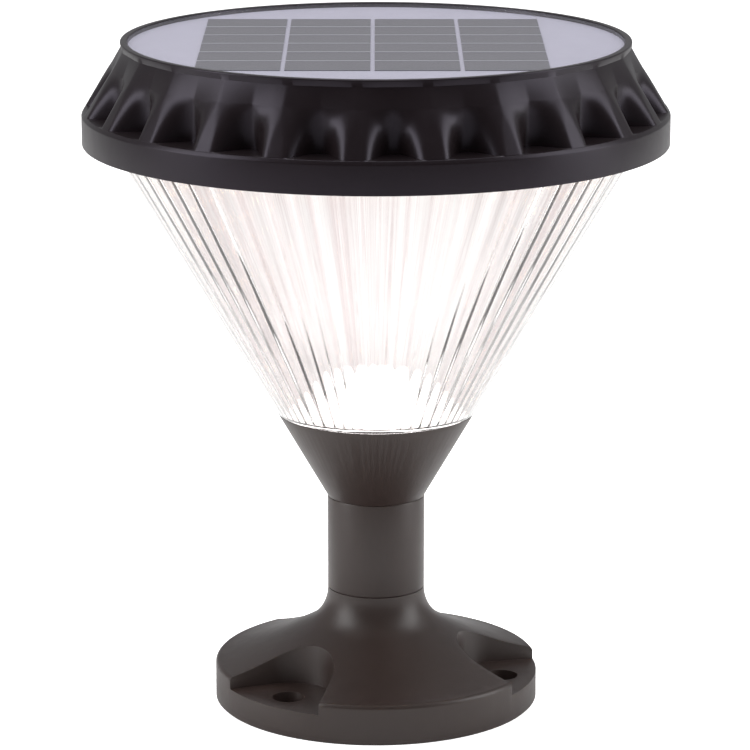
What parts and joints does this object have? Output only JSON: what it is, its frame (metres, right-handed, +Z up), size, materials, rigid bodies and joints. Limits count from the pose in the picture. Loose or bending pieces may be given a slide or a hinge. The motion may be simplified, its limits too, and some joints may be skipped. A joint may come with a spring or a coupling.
{
  "type": "solar pillar light",
  "caption": "Solar pillar light: fluted round cap with a solar panel, ribbed clear lens cone, dark collar, short neck and a flanged screw-down foot.",
  "frame": {"origin": "centre of the foot's underside, where the light stands", "axes": "+Z up along the light's axis; the side in the picture faces -Y, so +X is to the right of it"},
  "size_m": [0.19, 0.19, 0.2213],
  "materials": {
    "bronze_paint": "satin",
    "cap_black": "gloss",
    "clear_lens": "clear, ribbed inside",
    "dome_white": "gloss",
    "seal_rubber": "matte",
    "screw_steel": "plated",
    "part_black": "matte",
    "board_green": "satin",
    "tray_white": "matte",
    "led_board_white": "satin",
    "led_amber": "gloss",
    "battery_wrap": "gloss",
    "contact_plate": "plated",
    "socket_white": "satin",
    "lead_red": "satin",
    "lead_black": "satin",
    "bond_grey": "matte",
    "panel_backing": "matte",
    "solar_cell": "satin",
    "cell_ribbon": "satin",
    "panel_glass": "clear"
  },
  "bodies": {
    "foot": {"foot_flange": "bronze_paint"},
    "neck": {"neck_tube": "bronze_paint"},
    "head": {"collar": "bronze_paint", "neck_seal_ring": "seal_rubber", "collar_gasket": "seal_rubber", "collar_screws": "screw_steel", "lens": "clear_lens", "reflector_dome": "dome_white", "cap_shell": "cap_black", "button_seal": "seal_rubber", "underside_ring": "cap_black", "lens_gasket": "seal_rubber", "ring_screws": "screw_steel", "switch_body": "part_black", "switch_board": "board_green", "tray": "tray_white", "tray_screws": "screw_steel", "led_board": "led_board_white", "led_board_screws": "screw_steel", "led_chips": "led_amber", "battery_holder": "part_black", "battery_cell": "battery_wrap", "battery_contacts": "contact_plate", "control_board": "board_green", "board_screws": "screw_steel", "control_chips": "part_black", "boost_inductor": "part_black", "board_capacitors": "part_black", "lead_sockets": "socket_white", "panel_lead_red": "lead_red", "panel_lead_black": "lead_black", "battery_lead_red": "lead_red", "battery_lead_black": "lead_black", "led_lead_red": "lead_red", "led_lead_black": "lead_black", "switch_lead_red": "lead_red", "switch_lead_black": "lead_black", "panel_bond": "bond_grey", "panel_board": "panel_backing", "solar_cells": "solar_cell", "cell_ribbons": "cell_ribbon", "panel_cover": "panel_glass"},
    "button": {"power_button": "seal_rubber", "switch_plunger": "part_black"}
  },
  "joints": [
    {"name": "neck_turn", "type": "hinge", "parent": "foot", "child": "neck", "pos_m": [0, 0, 0.038], "axis": [0, 0, 1], "continuous": true},
    {"name": "head_lift", "type": "slide", "parent": "neck", "child": "head", "axis": [0, 0, 1], "range_m": [0, 0.016]},
    {"name": "button_press", "type": "slide", "parent": "head", "child": "button", "axis": [-0.0698, -0.9976, 0], "range_m": [0, 0.0012], "stiffness_N_per_m": 400, "springref_m": -0.002}
  ]
}
